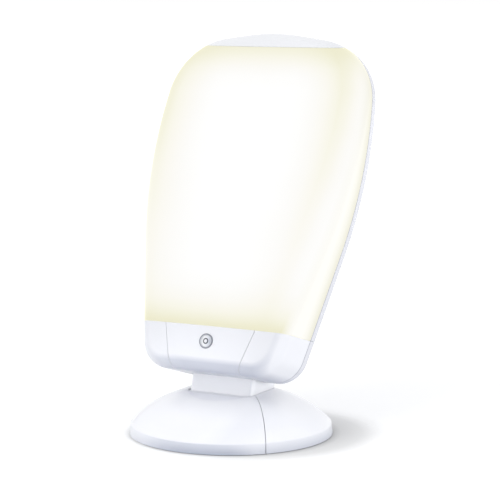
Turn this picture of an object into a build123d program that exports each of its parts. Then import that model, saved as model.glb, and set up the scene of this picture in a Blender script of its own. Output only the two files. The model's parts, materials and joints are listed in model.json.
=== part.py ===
from build123d import *
from math import atan2, cos, radians, sin, sqrt, tan
import os

# Light therapy lamp. Millimetres and degrees, +Z up, front towards -Y, +X to the right seen from the front.
# The origin is the centre of the base's underside, on the table.
# Head pieces are drawn upright about the tilt hinge, and lean back by rest_lean when they are written.

# ---- Stance ----
rest_lean = 16.7
hinge_y = -5.3
hinge_z = 25.0

# ---- Base shell ----
base_radius = 134.2
rim_draft = 1.6             # the rim leans in by this much over its height
rim_height = 14.0
rim_round = 1.2             # where the rim turns into the dome
table_gap = 0.8             # the rim ends this far above the table
base_wall = 2.5
shoulder_in_x = 22.2        # the dome passes through three rounded rectangles. The sides of the lower
shoulder_in_y = 26.2        # two lie this far in from the rim,
shoulder_corner = 90.0
shoulder_height = 29.0
shoulder_forward = 4.0      # and all three sit a little forward of the middle.
waist_in_x = 44.2
waist_in_y = 50.2
waist_corner = 62.0
waist_height = 43.3
waist_forward = 6.0
foot_half_x = 51.0          # the third ends at the neck
foot_half_y = 38.0
foot_corner = 7.0
foot_height = 58.0
foot_forward = 3.0
seam_start_y = -22.5        # the panel seams leave the neck slot here,
seam_mid_x = 73.3           # pass this point,
seam_mid_y = -52.0
seam_angle = 48.4           # and reach the rim this far round from the front
seam_gap = 0.9
ledge_width = 6.0
ledge_thickness = 1.5

# ---- Base plate, feet and weights ----
plate_thickness = 2.0
plate_clearance = 0.4
foot_ring_height = 1.2
foot_ring_gap = 9.8         # from the rim in to the ring
foot_ring_width = 12.0
weight_gap = 17.8           # from the rim in to the weights
weight_inner_x = 66.0
weight_height = 12.0
weight_screw_x = 84.0
weight_screw_y = 30.0
weight_screw_radius = 2.0
base_boss_gap = 28.2        # from the rim in to the bosses' middles,
base_boss_angle = 27.0      # and how far round from the front and the back they are
base_boss_radius = 4.0
base_screw_radius = 1.5
base_screw_length = 14.0
base_screw_head_radius = 2.8
base_screw_head = 0.9

# ---- Hinge ----
pin_radius = 4.0
pin_clearance = 0.05
barrel_radius = 9.0
barrel_half_length = 33.9
washer_thickness = 2.0
washer_clearance = 0.1
bracket_thickness = 3.0
bracket_half_width = 14.0
bracket_flange_length = 20.0
bracket_screw_y = 8.0
bracket_screw_radius = 2.0
machine_screw_head = 2.0
clip_thickness = 1.2
clip_groove_depth = 0.7
clip_radius = 6.5
clip_slot = 5.0
pin_end = 1.5

# ---- Neck ----
neck_half_x = 47.0
neck_front = 31.4
neck_rear = 31.0
neck_corner = 6.0
neck_wall = 2.5
neck_bottom = 8.0
neck_flange = 2.0
neck_flange_gap = 2.0
neck_flange_reach = 2.0
neck_rib_height = 32.0
neck_clearance = 0.4
apron_radius = 38.0
apron_side_gap = 0.5
apron_from = 44.0           # degrees forward of the head's own upright
apron_to = 100.0
slot_clearance = 0.8
slot_rear = 44.3
slot_front = -30.6
dish_front = -62.0          # a shallow dish in front of the slot bows forward to here
dish_depth = 1.2

# ---- Head outline, seen from the front: corner points and the radii that round them ----
bottom_corner_x = 95.0
head_bottom = 46.5
bottom_radius = 40.0
side_corner_x = 158.4
side_corner_z = 316.4
side_radius = 670.0
shoulder_point_x = 146.0
shoulder_point_z = 495.2
shoulder_radius = 88.0
crown_point_z = 514.0
crown_radius = 294.5

# ---- Head depth ----
front_depth = 93.9          # how deep the front is where it stands upright,
front_vertex = -115.0       # which is level with this height
front_radius_up = 3150.0
front_radius_across = 800.0
front_round = 18.0
head_wall = 2.5
band_width = 9.0            # how far the rear housing's rim comes forward
rear_rim = 2.0              # the rear housing is straight up to here, and tapers behind it
rear_taper = 38.0
rear_depth = 36.0
rear_round = 8.0
lip_thickness = 1.5
lip_length = 4.0
lip_clearance = 0.2
joint_gap = 0.4
panel_gap = 0.7
screen_bottom = 105.6
cap_drop = 12.0             # the cap's seam is level at rest, this far below the crown's top
panel_half_top = 66.0
panel_half_bottom = 48.5

# ---- Frame inside the head ----
chassis_front = 2.0
chassis_thickness = 1.5
chassis_half_x = 68.0
chassis_bottom = 57.0
chassis_top = 478.0
strut_half_x = 28.0
strut_thickness = 4.0
strut_top = 130.0
strut_screw_x = 18.0
strut_screw_rows = (92.0, 116.0)
strut_screw_radius = 2.5
panel_post_z = 70.0
cheek_post_x = 62.5
cheek_post_z = 75.0
post_radius = 4.0

# ---- Light ----
lamp_spacing = 72.0         # between the two twin-tube lamps
tube_spacing = 23.0         # between the two legs of one lamp
tube_radius = 8.75
tube_end_round = 8.0
bridge_radius = 5.0
bridge_drop = 12.0
lamp_y = -20.5
lamp_base_bottom = 76.0
lamp_base_height = 24.0
lamp_base_width = 43.0
lamp_base_depth = 23.0
lamp_base_corner = 6.0
lamp_length = 415.0
holder_height = 22.0
holder_width = 43.0
holder_depth = 27.0
holder_foot_height = 6.0
holder_foot_width = 14.0
clip_band_z = 430.0
clip_band = 8.0
clip_wall = 1.0
clip_gap = 0.1
clip_foot_width = 10.0
reflector_y = -9.5
reflector_thickness = 0.8
reflector_bottom = 106.0
reflector_top = 470.0
reflector_flat = 66.0
reflector_wing = 26.0
reflector_wing_angle = 40.0
pillar_radius = 4.0
pillar_x = 52.0
pillar_rows = (150.0, 300.0, 450.0)

# ---- Rear cover ----
boss_radius = 4.5
boss_x = 52.0
boss_rows = (170.0, 320.0, 440.0)
lower_boss_x = 46.0
lower_boss_z = 93.0
case_screw_radius = 1.7
case_screw_head_radius = 3.2
case_screw_head = 1.8
screw_clearance = 0.1
vent_length = 44.0
vent_width = 3.0
vent_pitch = 9.0
vent_count = 6
vent_rows = (250.0, 400.0)

# ---- Electronic ballast and wires ----
driver_half_x = 28.0
driver_bottom = 190.0
driver_top = 390.0
driver_depth = 24.0
driver_round = 3.0
driver_tab = 8.0
driver_tab_width = 28.0
driver_screw_radius = 1.6
wire_radius = 1.1
wire_hole_radius = 2.5
wire_y = 11.0
wire_exit_x = 20.0
wire_straight = 40.0        # the straight run at each end of a lamp's wire
wire_bend_share = 0.45      # of the shorter run beside it, for each bend
holder_wire_z = 70.0

# ---- Button ----
button_z = 85.5
button_radius = 7.2
button_clearance = 0.05
button_proud = 0.4
button_dome = 1.2
button_mark_radius = 3.2    # a fine ring cut into the button's face
button_mark_width = 0.6
button_mark_depth = 0.5
button_travel = 2.0
button_flange_radius = 8.6
button_flange = 1.5
button_flange_gap = 0.3
button_stem_radius = 2.0
ring_radius = 9.8
ring_proud = 1.2
ring_seat = 0.7
ring_round = 0.5
sleeve_radius = 8.9
sleeve_length = 9.0
sleeve_clearance = 0.1
spring_wire = 0.4
spring_radius = 4.2
spring_turns = 4
spring_end_gap = 0.3
switch_size = 18.0
switch_depth = 14.0
switch_gap = 8.0            # between the button's flange and the switch body
switch_bracket_thickness = 1.5
switch_bracket_height = 16.0
switch_post_x = 22.0
switch_post_radius = 3.5
switch_screw_radius = 1.2
switch_screw_length = 8.0
switch_wire_x = 7.5
switch_wire_rise = 14.0     # straight up from the switch body,
switch_wire_gap = 6.0       # to this far in front of the neck strut,
switch_wire_slope = 2.0     # from this far below the hole in it to as far above
switch_wire_hole_z = 101.6

# ---- Mains inlet ----
inlet_z = 91.0
inlet_body_width = 19.0
inlet_body_height = 11.5
inlet_flange_width = 23.0
inlet_flange_height = 14.0
inlet_flange = 1.5
inlet_depth = 16.0
inlet_clearance = 0.2
socket_width = 16.4
socket_height = 8.6
socket_depth = 12.0
socket_end_flat = 0.1       # half of the flat left in the middle of each rounded end
inlet_pin_radius = 1.2
inlet_pin_spacing = 8.6
inlet_pin_length = 10.0

head_place = Location((0, hinge_y, hinge_z), (-rest_lean, 0, 0))
plate_bottom = foot_ring_height
plate_top = plate_bottom + plate_thickness
high = 2 * foot_height      # taller than anything in the base
os.makedirs("parts", exist_ok=True)


def write(piece, label, place=Location()):
    """Label a finished piece, put it in its place and write it."""
    piece.part.label = label
    placed = piece.part.moved(place)
    placed.label = label
    export_step(placed, f"parts/{label}.step")


def along_y(radius, start, end, places):
    """Round bars along Y from start to end, at the given (x, z) places."""
    with BuildPart(mode=Mode.PRIVATE) as bars:
        with BuildSketch(Plane.XZ.offset(-start)):
            with Locations(*places):
                Circle(radius)
        extrude(amount=start - end)
    return bars.part


def along_z(radius, start, end, places):
    """Round bars along Z from start to end, at the given (x, y) places."""
    with BuildPart(mode=Mode.PRIVATE) as bars:
        with BuildSketch(Plane.XY.offset(start)):
            with Locations(*places):
                Circle(radius)
        extrude(amount=end - start)
    return bars.part


def along_x(radius, start, end):
    """A round bar on the hinge's axis, from x = start to x = end."""
    with BuildPart(mode=Mode.PRIVATE) as bar:
        with BuildSketch(Plane.YZ.offset(start)):
            Circle(radius)
        extrude(amount=end - start)
    return bar.part


def slab(plane, width, height, thickness, round_corners=0):
    """A rectangular plate centred on a plane, thick towards the plane's normal."""
    with BuildPart(mode=Mode.PRIVATE) as plate:
        with BuildSketch(plane):
            if round_corners:
                RectangleRounded(width, height, round_corners)
            else:
                Rectangle(width, height)
        extrude(amount=thickness)
    return plate.part


def mirrored_x(x, *rest):
    """The same place on both sides."""
    return [(-x, *rest), (x, *rest)]


# ================================================================ base shell


def base_dome(inset):
    """The dome and its rim, drawn in by inset all over: a circle that becomes the neck's foot."""
    shoulder = (base_radius - shoulder_in_x, base_radius - shoulder_in_y)
    waist = (base_radius - waist_in_x, base_radius - waist_in_y)
    sections = (
        (*shoulder, shoulder_corner, shoulder_height, -shoulder_forward),
        (*waist, waist_corner, waist_height, -waist_forward),
        (foot_half_x, foot_half_y, foot_corner, foot_height, -foot_forward),
    )
    with BuildPart(mode=Mode.PRIVATE) as dome:
        with BuildSketch(Plane.XY.offset(rim_height)):
            Circle(base_radius - rim_draft - inset)
        for half_x, half_y, corner, height, middle_y in sections:
            with BuildSketch(Plane((0, middle_y, height - inset))):
                RectangleRounded(2 * (half_x - inset), 2 * (half_y - inset), corner - inset)
        loft()
        with Locations((0, 0, table_gap)):
            Cone(base_radius - inset, base_radius - rim_draft - inset, rim_height - table_gap,
                 align=(Align.CENTER, Align.CENTER, Align.MIN))
        if rim_round > inset:
            fillet(dome.edges().filter_by_position(Axis.Z, rim_height, rim_height), rim_round - inset)
    return dome.part


def seam_sector(grow, start_z=0.0):
    """Tall block over the plan of the front panel, between its two seams, grown by grow."""
    start = (neck_half_x + slot_clearance, seam_start_y)
    rim = (base_radius * sin(radians(seam_angle)), -base_radius * cos(radians(seam_angle)))
    beyond = (2 * rim[0], 2 * rim[1])
    with BuildPart(mode=Mode.PRIVATE) as sector:
        with BuildSketch(Plane.XY.offset(start_z)):
            with BuildLine():
                ThreePointArc(start, (seam_mid_x, seam_mid_y), rim)
                ThreePointArc((-start[0], start[1]), (-seam_mid_x, seam_mid_y), (-rim[0], rim[1]))
                Polyline(rim, beyond, (0, -2 * base_radius), (-beyond[0], beyond[1]), (-rim[0], rim[1]))
                Line(start, (-start[0], start[1]))
            make_face()
            if grow:
                offset(amount=grow)
        extrude(amount=high)
    return sector.part


def neck_slot():
    """Tall block over the plan of the opening that the neck moves in."""
    half_x = neck_half_x + slot_clearance
    with BuildPart(mode=Mode.PRIVATE) as slot:
        with BuildSketch() as plan:
            with BuildLine():
                Polyline((-half_x, slot_front), (half_x, slot_front), (half_x, slot_rear),
                         (-half_x, slot_rear), close=True)
            make_face()
            fillet(plan.vertices().group_by(Axis.Y)[-1], neck_corner - slot_clearance)
        extrude(amount=high)
    return slot.part


def neck_dish():
    """The layer cut off the dome in front of the slot, as far as a bowed edge."""
    half_x = neck_half_x + slot_clearance
    with BuildPart(mode=Mode.PRIVATE) as dish:
        with BuildSketch():
            with BuildLine():
                ThreePointArc((-half_x, slot_front), (0, dish_front), (half_x, slot_front))
                Line((half_x, slot_front), (-half_x, slot_front))
            make_face()
        extrude(amount=high)
        add(base_dome(dish_depth), mode=Mode.SUBTRACT)
    return dish.part


dome_outer = base_dome(0)
dome_inner = base_dome(base_wall)
base_boss_reach = base_radius - base_boss_gap
base_boss_x = base_boss_reach * sin(radians(base_boss_angle))
base_boss_y = base_boss_reach * cos(radians(base_boss_angle))
base_boss_bores = [(x, y) for x in (-base_boss_x, base_boss_x) for y in (-base_boss_y, base_boss_y)]

with BuildPart() as base_skin:
    add(dome_outer)
    add(dome_inner, mode=Mode.SUBTRACT)
    add(neck_slot(), mode=Mode.SUBTRACT)
    add(neck_dish(), mode=Mode.SUBTRACT)

with BuildPart() as base_bosses:
    add(along_z(base_boss_radius, plate_top, foot_height, base_boss_bores))
    add(dome_inner, mode=Mode.INTERSECT)
    add(along_z(base_screw_radius, 0, plate_bottom + base_screw_length, base_boss_bores),
        mode=Mode.SUBTRACT)

with BuildPart() as base_front_panel:
    add(base_skin.part)
    add(base_bosses.part)
    add(seam_sector(0), mode=Mode.INTERSECT)

with BuildPart() as base_shell:
    add(base_skin.part)
    add(base_bosses.part)
    add(seam_sector(seam_gap), mode=Mode.SUBTRACT)

with BuildPart() as panel_ledge:
    add(dome_inner)
    add(base_dome(base_wall + ledge_thickness), mode=Mode.SUBTRACT)
    add(seam_sector(ledge_width, plate_top + plate_clearance), mode=Mode.INTERSECT)
    add(seam_sector(-ledge_width), mode=Mode.SUBTRACT)
    add(neck_slot(), mode=Mode.SUBTRACT)

with BuildPart() as base_shell_whole:
    add(base_shell.part)
    add(panel_ledge.part)

write(base_shell_whole, "base_shell")
write(base_front_panel, "base_front_panel")

# ================================================================ base plate, feet and weights


def rim_radius(z, inset):
    """Radius of the rim wall at height z."""
    taper = rim_draft / (rim_height - table_gap)
    return base_radius - inset - taper * (z - table_gap)


weight_screw_places = [
    (x, y)
    for x in (-weight_screw_x, weight_screw_x)
    for y in (-weight_screw_y, weight_screw_y)
]
bracket_inner = barrel_half_length + washer_clearance + washer_thickness
bracket_outer = bracket_inner + bracket_thickness
bracket_screw_x = bracket_outer + bracket_flange_length / 2
bracket_screw_places = [
    (side * bracket_screw_x, hinge_y + offset_y)
    for side in (-1, 1)
    for offset_y in (-bracket_screw_y, bracket_screw_y)
]

with BuildPart() as base_plate:
    with Locations((0, 0, plate_bottom)):
        Cylinder(rim_radius(plate_top, base_wall) - plate_clearance, plate_thickness,
                 align=(Align.CENTER, Align.CENTER, Align.MIN))
    add(along_z(base_screw_radius, 0, plate_top, base_boss_bores), mode=Mode.SUBTRACT)
    add(along_z(weight_screw_radius, 0, plate_top, weight_screw_places), mode=Mode.SUBTRACT)
    add(along_z(bracket_screw_radius, 0, plate_top, bracket_screw_places), mode=Mode.SUBTRACT)
write(base_plate, "base_plate")

with BuildPart() as foot_ring:
    with BuildSketch():
        Circle(base_radius - foot_ring_gap)
        Circle(base_radius - foot_ring_gap - foot_ring_width, mode=Mode.SUBTRACT)
    extrude(amount=foot_ring_height)
write(foot_ring, "foot_ring")

with BuildPart() as base_screws:
    add(along_z(base_screw_radius, plate_bottom, plate_bottom + base_screw_length, base_boss_bores))
    add(along_z(base_screw_head_radius, plate_bottom - base_screw_head, plate_bottom, base_boss_bores))
write(base_screws, "base_screws")

weight_radius = base_radius - weight_gap
for side, word in ((-1, "left"), (1, "right")):
    with BuildPart() as base_weight:
        with BuildSketch(Plane.XY.offset(plate_top)):
            Circle(weight_radius)
            with Locations((side * (weight_inner_x - weight_radius), 0)):
                Rectangle(2 * weight_radius, 2 * weight_radius, mode=Mode.SUBTRACT)
        extrude(amount=weight_height)
        add(along_z(weight_screw_radius, 0, high, weight_screw_places), mode=Mode.SUBTRACT)
    write(base_weight, f"base_weight_{word}")

with BuildPart() as weight_screws:
    top = plate_top + weight_height
    add(along_z(weight_screw_radius, plate_bottom, top, weight_screw_places))
    add(along_z(2 * weight_screw_radius, top, top + machine_screw_head, weight_screw_places))
write(weight_screws, "weight_screws")

# ================================================================ hinge

hinge_line = Location((0, hinge_y, hinge_z))
clip_start = bracket_outer + pin_clearance
groove_end = clip_start + clip_thickness + pin_clearance

for side, word in ((-1, "left"), (1, "right")):
    with BuildPart() as hinge_bracket:
        with BuildSketch(Plane.YZ.offset(side * bracket_inner)):
            Circle(bracket_half_width)
            with Locations((0, (plate_top - hinge_z) / 2)):
                Rectangle(2 * bracket_half_width, hinge_z - plate_top)
            Circle(pin_radius, mode=Mode.SUBTRACT)
        extrude(amount=side * bracket_thickness)
        flange_plane = Plane((side * (bracket_outer + bracket_flange_length / 2), 0, plate_top - hinge_z))
        add(slab(flange_plane, bracket_flange_length, 2 * bracket_half_width, bracket_thickness))
        screw_places = [(x, y - hinge_y) for x, y in bracket_screw_places]
        add(along_z(bracket_screw_radius, plate_top - hinge_z, 0, screw_places), mode=Mode.SUBTRACT)
    write(hinge_bracket, f"hinge_bracket_{word}", hinge_line)

    with BuildPart() as friction_washer:
        add(along_x(barrel_radius, side * (bracket_inner - washer_thickness), side * bracket_inner))
        add(along_x(pin_radius, side * (bracket_inner - washer_thickness), side * bracket_inner),
            mode=Mode.SUBTRACT)
    write(friction_washer, f"friction_washer_{word}", hinge_line)

    with BuildPart() as retaining_clip:
        with BuildSketch(Plane.YZ.offset(side * clip_start)):
            Circle(clip_radius)
            Circle(pin_radius - clip_groove_depth, mode=Mode.SUBTRACT)
            with Locations((0, -clip_radius)):
                Rectangle(clip_slot, 2 * clip_radius, mode=Mode.SUBTRACT)
        extrude(amount=side * clip_thickness)
    write(retaining_clip, f"retaining_clip_{word}", hinge_line)

with BuildPart() as tilt_pin:
    add(along_x(pin_radius, -groove_end - pin_end, groove_end + pin_end))
    for side in (-1, 1):
        with BuildSketch(Plane.YZ.offset(side * bracket_outer)):
            Circle(pin_radius)
            Circle(pin_radius - clip_groove_depth, mode=Mode.SUBTRACT)
        extrude(amount=side * (groove_end - bracket_outer), mode=Mode.SUBTRACT)
write(tilt_pin, "tilt_pin", hinge_line)

with BuildPart() as bracket_screws:
    flange_top = plate_top + bracket_thickness
    head_top = flange_top + machine_screw_head
    add(along_z(bracket_screw_radius, plate_bottom, flange_top, bracket_screw_places))
    add(along_z(2 * bracket_screw_radius, flange_top, head_top, bracket_screw_places))
write(bracket_screws, "bracket_screws")

switch_wire_holes = mirrored_x(switch_wire_x, switch_wire_hole_z)
strut_screw_places = [(x, z) for x in (-strut_screw_x, strut_screw_x) for z in strut_screw_rows]
strut_front = chassis_front - strut_thickness
chassis_back = chassis_front + chassis_thickness

with BuildPart() as neck_strut:
    add(along_x(barrel_radius, -barrel_half_length, barrel_half_length))
    with Locations((0, strut_front, 0)):
        Box(2 * strut_half_x, strut_thickness, strut_top, align=(Align.CENTER, Align.MIN, Align.MIN))
    add(along_x(pin_radius + pin_clearance, -barrel_half_length, barrel_half_length), mode=Mode.SUBTRACT)
    add(along_y(strut_screw_radius, strut_front, chassis_front, strut_screw_places), mode=Mode.SUBTRACT)
    add(along_y(wire_hole_radius, strut_front, chassis_front, switch_wire_holes), mode=Mode.SUBTRACT)
write(neck_strut, "neck_strut", head_place)

with BuildPart() as strut_screws:
    add(along_y(strut_screw_radius, strut_front, chassis_back, strut_screw_places))
    add(along_y(2 * strut_screw_radius, strut_front - machine_screw_head, strut_front, strut_screw_places))
write(strut_screws, "strut_screws", head_place)

# ================================================================ neck

neck_depth = neck_front + neck_rear
neck_middle = (neck_rear - neck_front) / 2


def neck_block(grow, bottom, top):
    """The neck's rounded rectangle, grown by grow, between two heights."""
    plane = Plane((0, neck_middle, bottom))
    return slab(plane, 2 * (neck_half_x + grow), neck_depth + 2 * grow, top - bottom, neck_corner + grow)


neck_top = head_bottom + head_wall + neck_flange_gap + neck_flange
neck_rear_top = neck_top + (neck_rear - rear_rim) * tan(radians(rear_taper))


def under_head(drop, top):
    """Everything below a height in front, and below the rear housing's slope behind, lowered by drop."""
    rise = tan(radians(rear_taper))
    far = 2 * neck_rear
    with BuildPart(mode=Mode.PRIVATE) as block:
        with BuildSketch(Plane.YZ.offset(-2 * neck_half_x)):
            with BuildLine():
                Polyline((-far, 0), (far, 0), (far, top - drop + (far - rear_rim) * rise),
                         (rear_rim, top - drop), (-far, top - drop), close=True)
            make_face()
        extrude(amount=4 * neck_half_x)
    return block.part


with BuildPart() as neck_edge:
    with BuildSketch():
        with Locations((0, (neck_rear - neck_front - neck_flange_reach) / 2)):
            RectangleRounded(2 * (neck_half_x + neck_flange_reach), neck_depth + neck_flange_reach,
                             neck_corner)
    extrude(amount=2 * neck_rear_top)
    add(under_head(0, neck_top), mode=Mode.INTERSECT)
    add(under_head(neck_flange, neck_top), mode=Mode.SUBTRACT)

with BuildPart() as neck_cover:
    add(neck_block(0, neck_bottom, neck_rear_top))
    add(under_head(0, neck_top), mode=Mode.INTERSECT)
    add(neck_edge.part)
    with BuildSketch(Plane.YZ.offset(-neck_half_x + apron_side_gap)):
        Circle(apron_radius)
        Circle(apron_radius - neck_wall, mode=Mode.SUBTRACT)
        with BuildLine():
            reach = 2 * apron_radius
            ends = [(-reach * sin(radians(a)), reach * cos(radians(a))) for a in (apron_from, apron_to)]
            Polyline((0, 0), *ends, close=True)
        make_face(mode=Mode.INTERSECT)
    extrude(amount=2 * (neck_half_x - apron_side_gap))
    add(neck_block(-neck_wall, 0, 2 * neck_rear_top), mode=Mode.SUBTRACT)
    add(neck_block(-neck_wall, neck_rib_height, neck_rib_height + neck_wall))
    with Locations((0, strut_front + strut_thickness / 2, neck_rib_height)):
        Box(2 * (strut_half_x + neck_clearance), strut_thickness + 2 * neck_clearance, 2 * neck_wall,
            align=(Align.CENTER, Align.CENTER, Align.MIN), mode=Mode.SUBTRACT)
write(neck_cover, "neck_cover", head_place)

# ================================================================ head shells


def outline(inset, y):
    """The head's outline seen from the front, drawn in by inset, as a sketch in the plane at y."""
    corners = (
        (bottom_corner_x, head_bottom),
        (side_corner_x, side_corner_z),
        (shoulder_point_x, shoulder_point_z),
    )
    radii = (bottom_radius, side_radius, shoulder_radius)
    points = [*corners, (0, crown_point_z), *[(-x, z) for x, z in reversed(corners)]]
    with BuildSketch(Plane.XZ.offset(-y), mode=Mode.PRIVATE) as face:
        with BuildLine():
            FilletPolyline(*points, radius=[*radii, crown_radius, *reversed(radii)], close=True)
        make_face()
        if inset:
            offset(amount=-inset)
    return face.sketch


def front_y(z, x=0.0):
    """Where the front surface lies at height z and distance x from the middle."""
    up = front_radius_up - sqrt(front_radius_up**2 - (z - front_vertex) ** 2)
    across = front_radius_across - sqrt(front_radius_across**2 - x**2)
    return up + across - front_depth


def front_form(inset, back):
    """Solid inside the front skin, drawn in by inset, from the double-curved front to y = back."""
    axis_y = front_radius_across - front_depth
    heights = (0, crown_point_z / 2, crown_point_z + front_round)
    with BuildPart(mode=Mode.PRIVATE) as form:
        extrude(outline(inset, back), amount=front_depth + front_round + back, dir=(0, -1, 0))
        with BuildSketch(Plane.YZ):
            with BuildLine():
                bow = ThreePointArc(*[(front_y(z) + inset, z) for z in heights])
                Polyline(bow @ 1, (axis_y, heights[-1]), (axis_y, heights[0]), bow @ 0)
            make_face()
        revolve(axis=Axis((0, axis_y, 0), (0, 0, 1)), mode=Mode.INTERSECT)
        fillet(form.faces().sort_by(Axis.Y)[0].edges(), front_round - inset)
    return form.part


def rear_form(inset):
    """Solid inside the rear skin, drawn in by inset: straight at the rim, then tapered to the back."""
    taper_start = rear_rim - inset * tan(radians(rear_taper / 2))
    back = rear_depth - inset
    back_inset = inset + (back - taper_start) * tan(radians(rear_taper))
    with BuildPart(mode=Mode.PRIVATE) as form:
        extrude(outline(inset, -band_width), amount=band_width + taper_start, dir=(0, 1, 0))
        loft([outline(inset, taper_start), outline(back_inset, back)], ruled=True)
        fillet(form.faces().sort_by(Axis.Y)[-1].edges(), rear_round - inset)
    return form.part


def outline_ring(outer, inner, start, end):
    """A ring that follows the outline, between two insets, from y = start to y = end."""
    with BuildPart(mode=Mode.PRIVATE) as ring:
        extrude(outline(outer, start), amount=end - start, dir=(0, 1, 0))
        extrude(outline(inner, start), amount=end - start, dir=(0, 1, 0), mode=Mode.SUBTRACT)
    return ring.part


def above(z, gap=0.0):
    """Everything above height z, less a gap, as a big block."""
    return slab(Plane((0, 0, z + gap)), 4 * side_corner_x, 4 * side_corner_x, crown_point_z)


lip_outer = head_wall + lip_clearance
lip_inner = lip_outer + lip_thickness
front_back = -band_width - joint_gap
crown_slope = atan2(crown_point_z - shoulder_point_z, shoulder_point_x)
crown_top = crown_point_z - crown_radius * (1 / cos(crown_slope) - 1)
cap_plane = Plane(
    origin=(0, 0, crown_top - cap_drop / cos(radians(rest_lean))),
    z_dir=(0, -sin(radians(rest_lean)), cos(radians(rest_lean))),
    x_dir=(1, 0, 0),
)


def above_cap(shift):
    """Everything above the level cap seam, shifted up by shift."""
    return slab(cap_plane.offset(shift), 4 * side_corner_x, 4 * side_corner_x, crown_point_z)


with BuildPart() as front_skin:
    add(front_form(0, front_back))
    add(front_form(head_wall, front_back + head_wall), mode=Mode.SUBTRACT)

lip_back = -band_width - lip_length - joint_gap
with BuildPart() as lip_hollow:
    add(front_form(lip_inner, lip_back + head_wall))

with BuildPart() as lip_root:
    add(front_form(head_wall, lip_back))
    add(lip_hollow.part, mode=Mode.SUBTRACT)

with BuildPart() as lip_tongue:
    add(front_form(lip_outer, lip_back))
    add(lip_hollow.part, mode=Mode.SUBTRACT)

with BuildPart() as light_screen:
    add(front_skin.part)
    add(above(screen_bottom, joint_gap / 2), mode=Mode.INTERSECT)
    add(above_cap(-joint_gap / 2), mode=Mode.SUBTRACT)
write(light_screen, "light_screen", head_place)

with BuildPart() as cap_root:
    add(lip_root.part)
    add(above_cap(joint_gap / 2), mode=Mode.INTERSECT)
    add(above_cap(lip_length), mode=Mode.SUBTRACT)

with BuildPart() as cap_tongue:
    add(lip_tongue.part)
    add(above_cap(-lip_length), mode=Mode.INTERSECT)
    add(above_cap(lip_length), mode=Mode.SUBTRACT)

with BuildPart() as top_cap:
    add(front_skin.part)
    add(above_cap(joint_gap / 2), mode=Mode.INTERSECT)
    add(cap_root.part)
    add(cap_tongue.part)
write(top_cap, "top_cap", head_place)

with BuildPart() as lower_root:
    add(lip_root.part)
    add(above(screen_bottom - lip_length), mode=Mode.INTERSECT)
    add(above(screen_bottom, -joint_gap / 2), mode=Mode.SUBTRACT)

with BuildPart() as lower_tongue:
    add(lip_tongue.part)
    add(above(screen_bottom - lip_length), mode=Mode.INTERSECT)
    add(above(screen_bottom + lip_length), mode=Mode.SUBTRACT)

with BuildPart() as lower_skin:
    add(front_skin.part)
    add(above(screen_bottom, -joint_gap / 2), mode=Mode.SUBTRACT)
    add(lower_root.part)
    add(lower_tongue.part)
    add(neck_block(neck_clearance, 0, neck_top), mode=Mode.SUBTRACT)


def panel_block(grow):
    """The wedge of the lower front that the control panel fills, grown by grow."""
    slope = (panel_half_top - panel_half_bottom) / (screen_bottom - head_bottom)
    low, tall = head_bottom - front_round, screen_bottom + front_round
    half_low = panel_half_bottom - slope * front_round + grow
    half_tall = panel_half_top + slope * front_round + grow
    back = -neck_front - neck_clearance + grow
    with BuildPart(mode=Mode.PRIVATE) as block:
        with BuildSketch(Plane.XZ.offset(-back)):
            with BuildLine():
                Polyline((-half_low, low), (half_low, low), (half_tall, tall), (-half_tall, tall),
                         close=True)
            make_face()
        extrude(amount=2 * front_depth)
    return block.part


sleeve_front = front_y(button_z) + ring_seat
sleeve_back = front_y(button_z) - ring_proud + sleeve_length
flange_front = sleeve_back + button_flange_gap
flange_back = flange_front + button_flange
switch_front = flange_back + switch_gap
switch_back = switch_front + switch_depth
button_place = [(0, button_z)]
switch_posts = mirrored_x(switch_post_x, button_z)
panel_post = [(0, panel_post_z)]
cheek_posts = mirrored_x(cheek_post_x, cheek_post_z)

with BuildPart() as control_panel:
    add(lower_skin.part)
    add(panel_block(0), mode=Mode.INTERSECT)
    add(along_y(switch_post_radius, front_y(button_z) + head_wall / 2, switch_back, switch_posts))
    add(along_y(post_radius, front_y(panel_post_z) + head_wall / 2, strut_front, panel_post))
    add(along_y(ring_radius + sleeve_clearance, -2 * front_depth, sleeve_front, button_place),
        mode=Mode.SUBTRACT)
    add(along_y(sleeve_radius + sleeve_clearance, -2 * front_depth, -front_depth / 2, button_place),
        mode=Mode.SUBTRACT)
    add(along_y(switch_screw_radius, switch_back - switch_screw_length, switch_back, switch_posts),
        mode=Mode.SUBTRACT)
write(control_panel, "control_panel", head_place)

with BuildPart() as cheeks:
    add(lower_skin.part)
    add(panel_block(panel_gap), mode=Mode.SUBTRACT)
    cheek_post_front = front_y(cheek_post_z, cheek_post_x) + head_wall / 2
    add(along_y(post_radius, cheek_post_front, chassis_front, cheek_posts))
for side, word in ((-1, "left"), (1, "right")):
    with BuildPart() as cheek:
        add(cheeks.part)
        split(bisect_by=Plane.YZ, keep=Keep.TOP if side > 0 else Keep.BOTTOM)
    write(cheek, f"{word}_cheek", head_place)

boss_places = [(x, z) for x in (-boss_x, boss_x) for z in boss_rows]
lower_boss_places = mirrored_x(lower_boss_x, lower_boss_z)
case_screw_places = boss_places + lower_boss_places
rear_inner = rear_depth - head_wall
screw_seat = rear_depth - case_screw_head - screw_clearance


def socket_block(width, height, start, end):
    """A block with rounded ends about the mains inlet's axis."""
    with BuildPart(mode=Mode.PRIVATE) as block:
        with BuildSketch(Plane.XZ.offset(-start)):
            with Locations((0, inlet_z)):
                RectangleRounded(width, height, height / 2 - socket_end_flat)
        extrude(amount=start - end)
    return block.part


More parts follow.
